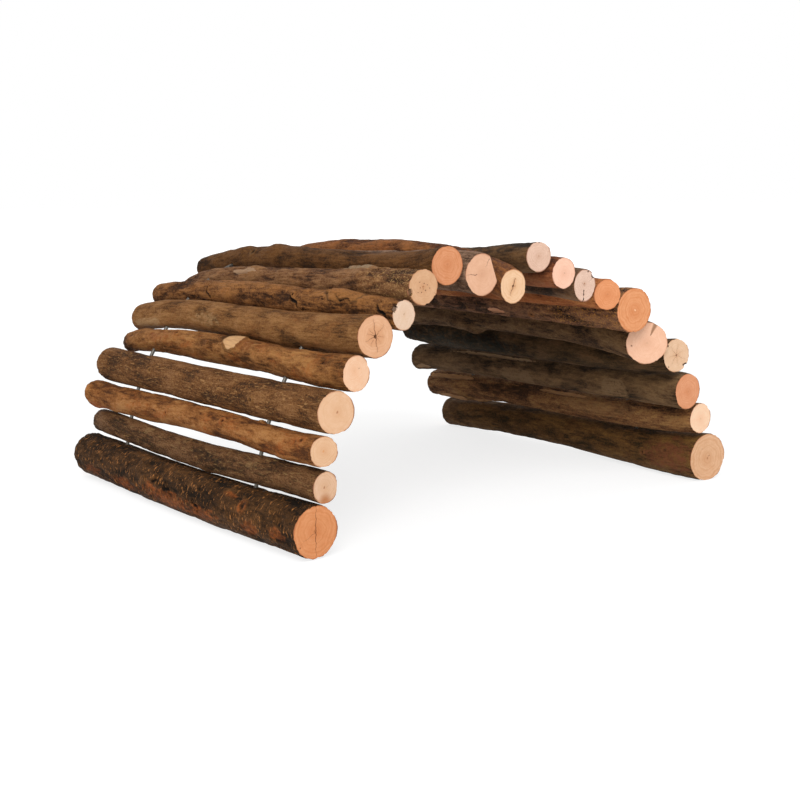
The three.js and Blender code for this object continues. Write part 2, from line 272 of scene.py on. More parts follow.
def woodFinish(name, log, sawTurn):
    light, dark, heart = log["wood"].split()
    finish, shader = newFinish(name)
    grain, rim = attribute("grain", "Vector"), attribute("rim")
    flat = stretched(grain, (1, 0, 1))
    pith = (log["pith"][0] * mm, 0, log["pith"][1] * mm)
    across = add("VectorMath", {0: flat, 1: pith}, operation="SUBTRACT").outputs[0]
    reach = add("VectorMath", {0: across}, operation="LENGTH").outputs[1]
    ring = log["ring"] * mm
    radius = plus(reach, swing(grainy(across, 150, 3, 0.5), 0.006))
    alone = add("CombineXYZ", {"X": radius}).outputs[0]
    years = grainy(alone, 0.8 / ring, 1, 0.5)  # good years and bad ones
    bands = grainy(alone, 1.1 / ring, 3, 0.6)
    uneven = plus(radius, swing(years, log["ring"] * 1.6 * mm))
    wave = sums("SINE", times(uneven, 2 * pi / ring))
    clear = spread(patchyOf(across, 90), 0.3, 0.65, 0.2, 1)
    line = times(spread(wave, -0.6, 1, 0, log["rings"]), clear)
    surface = mixed(spread(patchyOf(across, 230), 0.32, 0.72, 0, 0.6), light, dark)
    surface = mixed(spread(bands, 0.4, 0.62, 0, 0.3 + 0.5 * log["rings"]), surface, dark)
    if "core" in log:
        coreSize, coreDepth = log["core"]
        core = spread(uneven, (coreSize + 0.5) * mm, (coreSize - 0.9) * mm, 0, coreDepth)
        surface = mixed(core, surface, dark)
    surface = mixed(line, surface, heart)
    outside, inside = (size * mm for size in sawnCoat["heart"])
    surface = mixed(spread(radius, outside, inside, 0, 0.3), surface, heart)
    saw = grainy(stretched(turnedBy(flat, sawTurn), (0.03, 1, 1)), 1300, 4, 0.7)
    surface = mixed(spread(saw, 0.35, 0.7, 0, log["saw"]), surface, dark)
    flecks = grainy(across, 1300, 2, 0.7)
    surface = mixed(spread(flecks, 0.56, 0.7, 0, log["fleck"]), surface, heart)
    outside, inside = (size * mm for size in sawnCoat["pith"])
    pithSpot = spread(radius, outside, inside, 0, log["pithShown"])
    surface = mixed(pithSpot, surface, log["pithCode"])
    edge = plus(rim, swing(patchyOf(across, 160), sawnCoat["edgeFray"]))
    surface = mixed(spread(edge, 1.2, 0.6, 0, 0.45), surface, heart)
    surface = mixed(spread(edge, 0.5, 0.25, 0, 0.85), surface, sawnCoat["rim"])
    surface = mixed(attribute("tint"), surface, sawnCoat["stain"])
    for crack in log["cracks"]:
        code = sawnCoat["ingrown" if crack[3] > crackShape["ingrown"] else "crack"]
        line = times(crackLine(flat, crack, log), 0.85)
        surface = mixed(line, surface, code)
    # painted shade: near black in the face's open cracks, pits and notch
    surface = mixed(attribute("hollow"), surface, sawnCoat["hollow"])
    height = plus(times(saw, 0.6), times(line, 0.4))
    cover(shader, surface, spread(saw, 0.2, 0.8, 0.86, 0.74), height, sawnCoat["relief"])
    shader.inputs["Specular IOR Level"].default_value = sawnCoat["gloss"]
    return finish


def steelFinish():
    finish, shader = newFinish("drawn steel wire")
    place = add("TexCoord").outputs["Object"]
    dull = spread(grainy(place, 700, 4, 0.6), 0.3, 0.7)
    surface = mixed(dull, steelCoat["dark"], steelCoat["light"])
    roughness = spread(dull, 0, 1, *steelCoat["roughness"])
    cover(shader, surface, roughness, grainy(place, 3000, 2, 0.6), steelCoat["relief"])
    shader.inputs["Metallic"].default_value = 1
    return finish


# The branches, one dictionary each:
# - Width, lift and lean are shares of the branch size, as in the CAD source: width at the near end, middle
#   and far end, lift outwards and lean towards log_21 at the near end, near wire, middle, far wire and far
#   end. Skew is the slope of an askew near end and the turn of its nearest side. A knot is its place along,
#   its turn, its height and its length.
# - Tones are the bark's dark, middle and light. Warm, fibre, pore and goldCode colour those patterns, gold is
#   where golden specks lie, tint and tintDark colour marked places and bare the peeled ones. Rough is the
#   strength of its relief. Collars are the place along, half length and height of old nodes.
# - Wood is the sawn face's light, dark and heartwood, ring a year's width in millimetres, rings how clear the
#   years are and pith where they start. Core is the size and depth of a darker middle, burn how brown it is
#   beside cracks, saw and fleck how clear saw marks and flecks are. Chord is where the near end is cut flat.
# - A mark is its kind, its place along, its turn, and its half length and half width in millimetres, then a
#   lump's height or a split's lie. A crack in the near face is its clock angle, its start and end as shares
#   of the radius, and its width. A spot, notch or stain is its clock angle, share of the radius and size.
branch = dict(size=24, length=300, nearWire=66 / 300, farWire=245 / 300, knotSpread=radians(35),
              skewReach=0.2, slide=-0.036)
bowShares = (0, branch["nearWire"], (branch["nearWire"] + branch["farWire"]) / 2, branch["farWire"], 1)
plainLog = dict(lean=(0, 0, 0, 0, 0), shift=0, skew=(0, 0), knots=[], rough=1, collars=[], warm="#94602f",
                pore="#a9713f", goldCode="#b58f58", bare="#b98a5c", ring=1.6, rings=0.3, pith=(0, 0),
                pithShown=0.7, pithCode="#9a6038", burn=0, saw=0.25, fleck=0.3, marks=[], cracks=[], spots=[])
logs = {
    "log_01": dict(place=(-171.55, 15.25), turn=81.9, width=(1.3, 1.26, 1.29), lift=(-0.06, 0, 0.06, 0, 0),
        lean=(0.04, 0, -0.02, 0, 0.04), skew=(0.08, 352), knots=[(0.33, 250, 0.07, 0.05),
        (0.66, 240, 0.06, 0.06)],
        bark="cherry", tones="#150c03 #362009 #503212", tint="#a85a26", tintDark="#5c3018", bare="#b9784a",
        wood="#d89769 #c47b49 #b86939", ring=2.3, pith=(0.5, 0.5), rough=1.6, pore="#b0743f",
        marks=[("eye", 0.19, 20, 3.5, 3.5), ("scar", 0.5, 334, 34, 6), ("scar", 0.35, 330, 18, 5),
        ("scar", 0.72, 326, 22, 5), ("scar", 0.155, 335, 9, 5), ("scar", 0.9, 330, 12, 4),
        ("scar", 0.06, 345, 8, 4), ("scar", 0.25, 38, 7, 2), ("scar", 0.58, 352, 8, 3),
        ("split", 0.5, 0, 7, 1.7, 55), ("split", 0.37, 346, 6, 1.5, 70), ("split", 0.56, 10, 5, 1, 20),
        ("lump", 0.56, 276, 7, 6, -0.9), ("lump", 0.42, 276, 6, 6, -0.7), ("lump", 0.29, 276, 6, 6, -0.9),
        ("lump", 0.14, 276, 5, 6, -0.8), ("lump", 0.7, 276, 8, 6, -0.8), ("lump", 0.85, 276, 7, 6, -0.7)],
        cracks=[(2, 0, 0.97, 0.5), (180, 0, 0.97, 0.45), (243, 0.05, 0.85, 0.16)], spots=[(236, 0.85, 0.5)]),
    "log_02": dict(place=(-167.30, 40.89), turn=78.4, width=(0.78, 0.72, 0.7), lift=(-0.18, 0, 0, 0, -0.19),
        lean=(0.03, 0, -0.08, 0, 0), skew=(0.17, 348), knots=[(0.4, 300, 0.08, 0.04)],
        bark="ash", tones="#27190c #52341a #755131", fibre="#81643e", tint="#8a6a44",
        wood="#dfbb9f #cfa580 #c69269", ring=1.4, rings=0.25, pith=(0, 0.6), rough=1.3,
        marks=[("eye", 0.5, 60, 2.5, 2.5), ("scar", 0.21, 18, 5, 2), ("scar", 0.675, 48, 5, 3)],
        cracks=[(75, 0.1, 0.5, 0.06)], stain=(183, 0.86, 6.5)),
    "log_03": dict(place=(-162.35, 60.15), turn=72.9, width=(0.75, 0.73, 0.79), lift=(0.03, 0, 0, 0, 0.18),
        lean=(0.03, 0, 0.05, 0, 0), shift=0.05, skew=(0.1, 163), knots=[(0.12, 310, 0.14, 0.03),
        (0.72, 256, 0.2, 0.12), (0.88, 290, 0.1, 0.04)],
        bark="hazel", tones="#4c2b14 #865328 #aa7643", warm="#9f5523", tint="#8a421b", bare="#c99c6a",
        wood="#dab694 #cd9f79 #c38d64", ring=1.3, rings=0.25, pith=(0.3, 0), pithCode="#c98a54", rough=1.1,
        marks=[("eye", 0.35, 18, 2.5, 2.2), ("eye", 0.045, 28, 3, 2.5), ("stub", 0.23, 78, 2.6, 2.2),
        ("scar", 0.955, 285, 13, 6), ("lump", 0.975, 277, 9, 5, 1.7), ("eye", 0.6, 345, 2, 1.8),
        ("lump", 0.42, 330, 12, 7)]),
    "log_04": dict(place=(-153.68, 81.51), turn=64.4, width=(1.05, 1.02, 1.04), lift=(0.07, 0, 0, 0, 0),
        lean=(0.02, 0, -0.01, 0, 0),
        bark="ash", tones="#332011 #653f1d #865c35", fibre="#a4794a", tint="#8a6238",
        wood="#ddb796 #d0a17a #c58f66", ring=1.8, rings=0.06, pith=(0.6, -1), rough=0.9,
        marks=[("eye", 0.715, 0, 2.2, 2.0), ("eye", 0.255, 338, 2.2, 2.0)]),
    "log_05": dict(place=(-141.41, 103.28), turn=55.9, width=(0.89, 0.71, 0.63), lift=(0, 0, 0, 0, -0.27),
        lean=(0.02, 0, 0.1, 0, -0.12), shift=-0.02, skew=(0.16, 326), knots=[(0.1, 285, 0.14, 0.03),
        (0.54, 345, 0.16, 0.03), (0.6, 240, 0.36, 0.22)],
        bark="hazel", tones="#452910 #7e5028 #a4723e", warm="#97501f", tint="#7c4420", bare="#dcae7c",
        wood="#edcaab #e4b08b #d89d74", ring=1.0, rings=0.25, pith=(0.8, 2.2), pithShown=0.25,
        pithCode="#d09870", rough=1.3, marks=[("stub", 0.44, 25, 11, 7.5), ("scar", 0.4, 20, 12, 5),
        ("lump", 0.1, 285, 7, 6, -0.4), ("hole", 0.075, 2, 1.4, 1.2), ("lump", 0.05, 352, 7, 4, 0.6),
        ("lump", 0.9, 72, 26, 5, 1.2), ("scar", 0.8, 350, 12, 4), ("eye", 0.7, 20, 2.5, 2),
        ("lump", 0.7, 350, 14, 5, 0.5), ("scar", 0.33, 20, 6, 1.5)], spots=[(40, 0.35, 0.4)]),
    "log_06": dict(place=(-126.78, 121.35), turn=47.4, width=(1.05, 0.95, 0.83),
        lift=(0.13, 0, 0, -0.02, -0.15), lean=(0.04, 0, 0, 0, -0.22), shift=-0.08,
        knots=[(0.84, 330, 0.08, 0.04)],
        bark="olive", tones="#412912 #774e28 #956a3d", warm="#92582a", tint="#9c7850", bare="#a98255",
        wood="#dbae8c #cd9972 #c3875f", ring=1.5, rough=0.8, core=(6.8, 0.55), burn=0.16,
        marks=[("scar", 0.62, 320, 20, 5), ("hole", 0.235, 268, 2, 1.4), ("lump", 0.46, 302, 10, 6),
        ("lump", 0.86, 286, 36, 6, 3), ("patch", 0.91, 292, 22, 3)], cracks=[(352, 0, 0.8, 0.5),
        (172, 0, 0.72, 0.5), (45, 0.1, 0.7, 0.22), (95, 0.15, 0.5, 0.15), (250, 0.1, 0.6, 0.25),
        (290, 0.1, 0.5, 0.2), (135, 0.1, 0.45, 0.15), (315, 0.2, 0.55, 0.15), (215, 0.2, 0.5, 0.15)],
        spots=[(0, 0, 1.2)]),
    "log_07": dict(place=(-110.78, 136.58), turn=38.9, width=(0.75, 0.76, 0.7),
        lift=(-0.09, 0, 0.06, -0.03, -0.14), lean=(0.03, 0, 0, 0, -0.18), shift=-0.12, skew=(0.1, 309),
        knots=[(0.2, 335, 0.12, 0.05), (0.62, 320, 0.08, 0.03)],
        bark="flaked", tones="#301b0c #6c4423 #976535", warm="#a06633", tint="#3a2415", bare="#b58a5d",
        wood="#e4ccbb #d5b598 #cca07d", ring=1.1, rings=0.12, pith=(0.5, 0), pithShown=0.3, saw=1, fleck=0.6,
        rough=1.7, marks=[("split", 0.715, 308, 8, 1.3, 80), ("split", 0.335, 318, 8, 1.7, 62),
        ("split", 0.035, 318, 9, 1.5, 60), ("plate", 0.17, 18, 16, 8), ("lump", 0.2, 20, 18, 5.5, 2.4),
        ("lump", 0.45, 18, 48, 5.5, 1.7), ("lump", 0.08, 8, 12, 6, 0.9), ("split", 0.16, 345, 9, 0.9, 8),
        ("split", 0.225, 348, 4, 0.9, -40), ("split", 0.3, 290, 4, 0.8, 12)], cracks=[(0, 0, 0.3, 0.06)],
        notch=(300, 0.86, 2.2)),
    "log_08": dict(place=(-94.05, 147.75), turn=28.9, width=(0.9, 0.8, 0.7),
        lift=(0.13, 0.04, -0.04, -0.18, -0.6), lean=(0.03, 0, 0, 0, 0), shift=-0.14,
        knots=[(0.18, 350, 0.16, 0.03), (0.62, 0, 0.14, 0.04)],
        bark="brown", tones="#372316 #6c472b #906842", warm="#956233", tint="#927a5e", bare="#a5876a",
        wood="#d4ac89 #be8d65 #b2794f", ring=1.2, rings=0.1, gold=(0, 0.1), rough=1.7,
        marks=[("peel", 0.66, 345, 15, 2.6), ("stub", 0.235, 30, 5, 1.6), ("lump", 0.19, 34, 20, 3, 2.4),
        ("patch", 0.22, 34, 16, 3), ("split", 0.14, 20, 10, 0.8, -12), ("lump", 0.62, 345, 14, 8),
        ("lump", 0.5, 350, 9, 6)], cracks=[(115, 0.78, 1, 0.2)], spots=[(20, 0.2, 0.45), (70, 0.3, 0.4),
        (140, 0.25, 0.45), (200, 0.3, 0.45), (260, 0.2, 0.4), (320, 0.35, 0.4), (180, 0.1, 0.35),
        (100, 0.45, 0.35), (230, 0.45, 0.35)], notch=(255, 0.93, 2.2)),
    "log_09": dict(place=(-72.22, 156.98), turn=17.4, width=(0.99, 0.86, 0.66), lift=(0.24, 0, 0.1, 0, -0.25),
        lean=(0, 0, 0, 0, -0.11), shift=0.02, knots=[(0.64, 5, 0.13, 0.04), (0.8, 355, 0.16, 0.04)],
        bark="brown", tones="#251507 #503113 #6b451f", warm="#613916", tint="#7a5a38",
        wood="#d89a73 #c37d50 #b86b3f", rings=0.35, pith=(0.3, 0.3), pithShown=0.2, rough=0.9,
        collars=[(0.62, 6, 0.9), (0.765, 5, 0.8), (0.86, 5, 0.8)], marks=[("lump", 0.905, 300, 7, 7),
        ("lump", 0.765, 335, 10, 8), ("lump", 0.625, 350, 10, 8), ("eye", 0.72, 330, 3, 3)]),
    "log_10": dict(place=(-48.24, 161.91), turn=6.4, width=(1.08, 0.94, 0.88),
        lift=(-0.25, -0.2, -0.26, -0.22, -0.5), knots=[(0.5, 180, 0.1, 0.04)],
        bark="ash", tones="#402d22 #785a45 #9a7861", fibre="#97795e", tint="#7a5a38",
        wood="#dfb294 #cf9c7b #bc8565", rings=0.1, pith=(0, 0.5), pithShown=0.1,
        cracks=[(272, 0.3, 0.92, 0.4), (33, 0.42, 0.85, 0.32)], chord=(70, 0.76)),
    "log_11": dict(place=(-23.59, 162.84), turn=-2.6, width=(0.89, 0.82, 0.78),
        lift=(-0.62, -0.04, 0.05, -0.24, -0.9), lean=(0.01, 0, 0, 0, 0), shift=-0.08,
        knots=[(0.6, 340, 0.1, 0.05)],
        bark="flaked", tones="#382016 #714626 #955e31", warm="#9b5a2c", tint="#4d2e22",
        wood="#e9c5a3 #d8ad84 #cf996b", rough=1.4, burn=0.3, marks=[("eye", 0.03, 20, 2.4, 2.4),
        ("scar", 0.13, 0, 46, 15)], cracks=[(22, 0, 0.5, 0.6), (205, 0, 0.55, 0.5), (80, 0, 0.2, 0.3)],
        spots=[(0, 0, 0.8)]),
    "log_12": dict(place=(-1.00, 160.25), turn=-10.6, width=(0.82, 0.78, 0.8),
        lift=(0.22, 0, -0.04, -0.16, -0.8), lean=(-0.01, 0, 0, 0, 0), shift=0.04, skew=(0.07, 79),
        bark="smooth", tones="#251a0f #503822 #705132", tint="#2f2822", bare="#a98a68",
        wood="#e7c7b3 #cda891 #bb9078", ring=1.1, rings=0.5, pithShown=0.35, fleck=1, rough=0.8,
        marks=[("scar", 0.1, 20, 75, 15)]),
    "log_13": dict(place=(19.14, 155.33), turn=-16.6, width=(0.85, 0.83, 0.8), lift=(-0.04, 0, 0, 0, -0.1),
        lean=(0.01, 0, 0, 0, 0), shift=-0.06, knots=[(0.35, 10, 0.1, 0.04)],
        bark="brown", tones="#3b2118 #7d482b #9b613b", warm="#ae5a33", tint="#8a5a3c",
        wood="#f4cab2 #e6b195 #d1967b", ring=1.3, rings=0.15, pith=(0.4, 0), pithShown=0.1,
        marks=[("scar", 0.2, 320, 20, 5)], spots=[(90, 0.1, 0.3)]),
    "log_14": dict(place=(39.77, 148.38), turn=-20.6, width=(0.87, 0.82, 0.8), lift=(-0.12, 0, 0, 0, 0.1),
        shift=-0.02, skew=(0.07, 249), knots=[(0.7, 350, 0.12, 0.03)],
        bark="smooth", tones="#2d2119 #604531 #806146", tint="#6a5138", bare="#a98a68",
        wood="#eed1bf #d4b19c #c29881", ring=1.0, rings=0.6, pith=(-0.6, 0.8), fleck=0.8, rough=1.1,
        marks=[("eye", 0.12, 30, 2.5, 2.5)], cracks=[(186, 0.3, 0.98, 0.8), (300, 0.0, 0.4, 0.2),
        (60, 0.4, 0.8, 0.15)], spots=[(186, 0.55, 0.8), (20, 0.9, 0.6)], notch=(52, 0.97, 1.8)),
    "log_15": dict(place=(61.08, 139.48), turn=-24.6, width=(0.86, 0.84, 0.82), lift=(-0.04, 0, 0, 0, 0.05),
        shift=0.02, skew=(0.23, 65), knots=[(0.45, 20, 0.08, 0.05)],
        bark="brown", tones="#5b341f #9f5d34 #c27f49", warm="#b36432", tint="#a05c30",
        wood="#e19e72 #cc8050 #c06e3e", ring=1.2, pithShown=0.2, marks=[("scar", 0.3, 190, 60, 7)]),
    "log_16": dict(place=(84.19, 127.13), turn=-31.1, width=(1.25, 0.98, 0.95), lift=(0, 0, 0, 0, -0.1),
        shift=-0.06, skew=(0.08, 59), knots=[(0.3, 340, 0.1, 0.04)],
        bark="speckled", tones="#291c13 #6d4a36 #996b47", pore="#a9803f", warm="#9f6838", tint="#a8672c",
        bare="#e6a680", wood="#e3a376 #ce8453 #c27140", ring=2.6, rings=0.45, pith=(0.6, 0.2), gold=(0, 0.2),
        goldCode="#c88a3c", pithCode="#f0c8a0", rough=1.5, marks=[("peel", 0.435, 196, 9, 2.6),
        ("eye", 0.3, 200, 2.5, 2)]),
    "log_17": dict(place=(108.68, 109.25), turn=-41.1, width=(1.2, 0.98, 0.95),
        lift=(-0.34, 0, 0.08, 0, -0.25), lean=(-0.02, 0, 0, 0, 0), shift=0.16, skew=(0.42, 49),
        knots=[(0.66, 185, 0.26, 0.05)],
        bark="brown", tones="#291c13 #5e432a #7c5e3c", warm="#67482a", tint="#4a3020",
        wood="#ebbfa2 #dba686 #c68d6e", rings=0.06, pithShown=0.15, marks=[("eye", 0.63, 172, 3, 3),
        ("lump", 0.625, 135, 11, 7, 4.2)], cracks=[(24, 0.4, 1.02, 2.8)], spots=[(262, 0.72, 0.7)]),
    "log_18": dict(place=(127.14, 90.03), turn=-51.1, width=(0.99, 0.98, 0.95), lift=(0.18, 0, 0, 0, 0.1),
        lean=(-0.02, 0, 0, 0, 0), shift=0.06, skew=(0.1, 39), knots=[(0.55, 10, 0.1, 0.04)],
        bark="smooth", tones="#20150b #433019 #63462a", warm="#4e3b23", tint="#1f2724", bare="#8a7a58",
        wood="#e4c3a6 #d4ab85 #cb976d", ring=1.2, rings=0.15, burn=0.1, marks=[("lump", 0.75, 200, 14, 7),
        ("scar", 0.74, 180, 70, 12)], cracks=[(10, 0.05, 0.7, 0.15), (60, 0.1, 0.6, 0.12),
        (110, 0.1, 0.75, 0.15), (165, 0.05, 0.6, 0.12), (215, 0.1, 0.7, 0.15), (265, 0.1, 0.55, 0.12),
        (320, 0.1, 0.7, 0.12)], spots=[(0, 0, 0.6), (135, 0.85, 0.9), (312, 0.92, 0.9), (222, 0.86, 0.6)],
        notch=(130, 0.95, 1.6)),
    "log_19": dict(place=(142.97, 67.24), turn=-59.1, width=(1.06, 1.03, 0.94), lift=(-0.03, 0, 0, 0, -0.21),
        lean=(0, 0, 0, 0, 0.02), shift=0.04, knots=[(0.75, 200, 0.08, 0.05)],
        bark="smooth", tones="#291e13 #5d452d #7f6140", warm="#67492d", tint="#806446", bare="#b99a78",
        wood="#e2a580 #ce865a #c17246", ring=1.4, pith=(0.5, 0.3), pithShown=0.2,
        marks=[("peel", 0.66, 249, 52, 1.4), ("patch", 0.2, 188, 13, 9), ("patch", 0.56, 174, 20, 9),
        ("peel", 0.965, 165, 8, 3)]),
    "log_20": dict(place=(156.04, 42.99), turn=-64.6, width=(0.92, 0.88, 0.94), lift=(0.18, 0, 0, 0, 0.03),
        lean=(-0.04, 0, 0, 0, 0.15), shift=0.14, knots=[(0.86, 190, 0.14, 0.05)],
        bark="brown", tones="#362215 #734c2e #9d7445", warm="#8e5b31", tint="#8a6642", bare="#c39468",
        wood="#f2d6b8 #efbb96 #e2a67e", ring=1.5, rings=0.06, pith=(0.6, 0), pithShown=0.2, rough=1.2,
        marks=[("peel", 0.9, 247, 34, 2.6), ("lump", 0.87, 112, 24, 5, 2.4), ("lump", 0.785, 112, 16, 5, 2.5),
        ("stub", 0.895, 138, 20, 5.5), ("peel", 0.77, 122, 15, 2), ("peel", 0.43, 249, 30, 1.7),
        ("scar", 0.3, 215, 40, 7)]),
    "log_21": dict(place=(167.40, 16.01), turn=-69.1, width=(1.44, 1.13, 1.06), lift=(0, 0, 0, 0, 0.26),
        lean=(-0.02, 0, -0.08, 0, 0.26), shift=0.1, skew=(0.06, 21), knots=[(0.1, 190, 0.06, 0.05)],
        bark="brown", tones="#291e0d #583b1e #785629", warm="#633c1c", tint="#74422a",
        wood="#e1b895 #ca976e #be8256", ring=2.7, rings=0.4, pith=(0.6, -0.4),
        marks=[("scar", 0.07, 200, 24, 13), ("lump", 0.86, 250, 34, 4, 1.3), ("eye", 0.085, 215, 2.4, 2.4),
        ("eye", 0.16, 200, 2, 2)], spots=[(60, 0.12, 0.5), (320, 0.5, 0.35)]),
}
logs = {name: plainLog | log for name, log in logs.items()}


def curveThrough(shares, values, share):
    total = 0
    for i, value in enumerate(values):
        weight = value
        for j, other in enumerate(shares):
            if j != i:
                weight = weight * (share - other) / (shares[i] - other)
        total = total + weight
    return total


def wrapped(angle):
    return np.arctan2(np.sin(angle), np.cos(angle))


def branchRadius(log, share, turn):
    radius = branch["size"] / 2 * curveThrough((0, 0.5, 1), log["width"], share)
    swelling = 0
    for place, knotTurn, height, length in log["knots"]:
        along = (share - place) / length
        around = wrapped(turn - radians(knotTurn)) / branch["knotSpread"]
        swelling = swelling + height * np.exp(-along * along - around * around)
    return radius * (1 + swelling)


def branchMiddle(log, share):
    return [branch["size"] * curveThrough(bowShares, log[way], share) for way in ("lean", "lift")]


def comesNearer(log, share, turn, reach):  # how far an askew near end stands out
    slope, nearestTurn = log["skew"]
    fade = np.maximum(0, 1 - share / branch["skewReach"])
    return slope * reach * np.cos(turn - radians(nearestTurn)) * fade


def smooth(value, low, high):
    share = np.clip((value - low) / (high - low), 0, 1)
    return share * share * (3 - 2 * share)


def noiseAt(points, sizes, seed):
    scaled = points / np.array(sizes) + np.array((seed * 7.3, seed * 3.1, seed * 5.7))
    return np.array([noise.noise(p) for p in scaled.tolist()])


def takeUp(piece):  # makes one piece the selected and active one
    bpy.ops.object.select_all(action="DESELECT")
    piece.select_set(True)
    bpy.context.view_layer.objects.active = piece


def pick(piece, kind, test):  # selects the vertices, edges or faces of a piece in edit mode
    mesh = bmesh.from_edit_mesh(piece.data)
    for part in [*mesh.verts, *mesh.edges, *mesh.faces]:
        part.select_set(False)
    for part in getattr(mesh, kind):
        if test(part):
            part.select_set(True)
    bmesh.update_edit_mesh(piece.data)


# The plain branch that every log starts from: a round bar along Y, one unit long, with its sawn faces cut
# into rings that are finer than the bark. Crease is the angle from which an edge stays sharp.
bar = dict(sides=112, cuts=219, faceRings=18, crease=48)


def plainBranch():
    bpy.ops.mesh.primitive_cylinder_add(vertices=bar["sides"], radius=1, depth=1,
                                        rotation=(-pi / 2, 0, 0))
    piece = bpy.context.object
    bpy.ops.object.transform_apply()
    bpy.ops.object.mode_set(mode="EDIT")
    bpy.ops.mesh.select_mode(type="EDGE")
    pick(piece, "edges", lambda e: abs(e.verts[0].co.y - e.verts[1].co.y) > 0.5)
    bpy.ops.mesh.subdivide_edgering(number_cuts=bar["cuts"], interpolation="LINEAR", smoothness=0)
    bpy.ops.mesh.select_mode(type="FACE")
    pick(piece, "faces", lambda f: abs(f.normal.y) > 0.9)
    for i in range(bar["faceRings"]):
        bpy.ops.mesh.inset(thickness=1 / (bar["faceRings"] + 1), use_even_offset=True, use_individual=True)
    bpy.ops.mesh.poke()
    pick(piece, "faces", lambda f: abs(f.normal.y) > 0.9)
    bpy.ops.mesh.subdivide(number_cuts=1)
    bpy.ops.object.mode_set(mode="OBJECT")
    return piece


def barkMark(mark, share, turn, radius, points):  # height, tint, bare wood and painted shade in the hollows of one mark
    kind, place, markTurn, length, width = mark[:5]
    along = (share - place) * branch["length"]
    around = wrapped(turn - radians(markTurn)) * radius
    aside = (length if kind == "split" else 1.8 * width) + 3
    near = (np.abs(along) < 1.8 * length + 3) & (np.abs(around) < aside)
    height, tint, bare, hollow = found = np.zeros((4, len(share)))
    if not near.any():
        return found
    a, b = along[near], around[near]
    ragged = noiseAt(points[near], (2.2, 4, 2.2), 3)
    far = np.sqrt((a / length) ** 2 + (b / width) ** 2)
    if kind == "peel":
        inside = smooth(1.12 - far - 0.35 * ragged, 0, 0.2)
        height[near], bare[near] = -0.6 * inside, inside
        # painted shadow on one side of the peel, under the lifted bark edge
        hollow[near] = 0.4 * inside * smooth(-b, width * 0.45, width * 0.9)
    elif kind == "scar":
        inside = smooth(1.1 - far - 0.7 * ragged, 0, 0.45)
        height[near], tint[near] = inside * (0.3 * ragged - 0.1), inside
    elif kind == "patch":
        boxy = (np.abs(a) / length) ** 3 + (np.abs(b) / width) ** 3
        tint[near] = 1.8 * smooth(1 - boxy - 0.25 * ragged, 0, 0.25)
    elif kind == "lump":
        height[near] = (mark[5] if len(mark) > 5 else 0.75) * np.exp(-(far / 0.75) ** 2)
    elif kind == "eye":
        height[near] = 0.5 * np.exp(-((far - 1) / 0.4) ** 2) - 0.9 * np.exp(-(far / 0.5) ** 2)
        tint[near] = 0.9 * np.exp(-((far - 0.9) / 0.35) ** 2)
        # painted shade in the eye's pit
        hollow[near] = 0.7 * np.exp(-(far / 0.4) ** 2)
    elif kind == "stub":
        height[near] = 1.3 * smooth(1.3 - far, 0, 0.4) - 0.25 * smooth(0.95 - far, 0, 0.1)
        bare[near] = smooth(0.95 - far - 0.15 * ragged, 0, 0.12)
        # painted shade in a ring round the stub's base
        hollow[near] = 0.35 * np.exp(-((far - 1.02 - 0.1 * ragged) / 0.09) ** 2)
    elif kind == "hole":
        inside = smooth(1.1 - far, 0, 0.4)
        # painted shade inside the hole
        height[near], hollow[near] = -1.5 * inside, inside
    elif kind == "plate":
        edge = 1.05 - far - 0.25 * ragged
        height[near] = smooth(edge, 0, 0.12) * (0.3 + 0.6 * smooth(a, -length, length * 0.2))
        # painted shadow along the lifted plate's edge
        hollow[near] = 0.7 * np.exp(-((edge + 0.04) / 0.07) ** 2)
    elif kind == "split":
        lie = radians(mark[5])
        run, off = a * cos(lie) + b * sin(lie), b * cos(lie) - a * sin(lie)
        off = off + 1.6 * np.sin(run / length * 4.2) * width + 0.8 * ragged
        inside = smooth(width * (1.15 - np.abs(run) / length) - np.abs(off), 0, 0.45)
        lips = np.exp(-((np.abs(off) - width) / 1.1) ** 2) * smooth(1.3 - np.abs(run) / length, 0, 0.5)
        # painted shade inside the split
        height[near], hollow[near] = 0.35 * lips - 1.3 * inside, inside
    return found


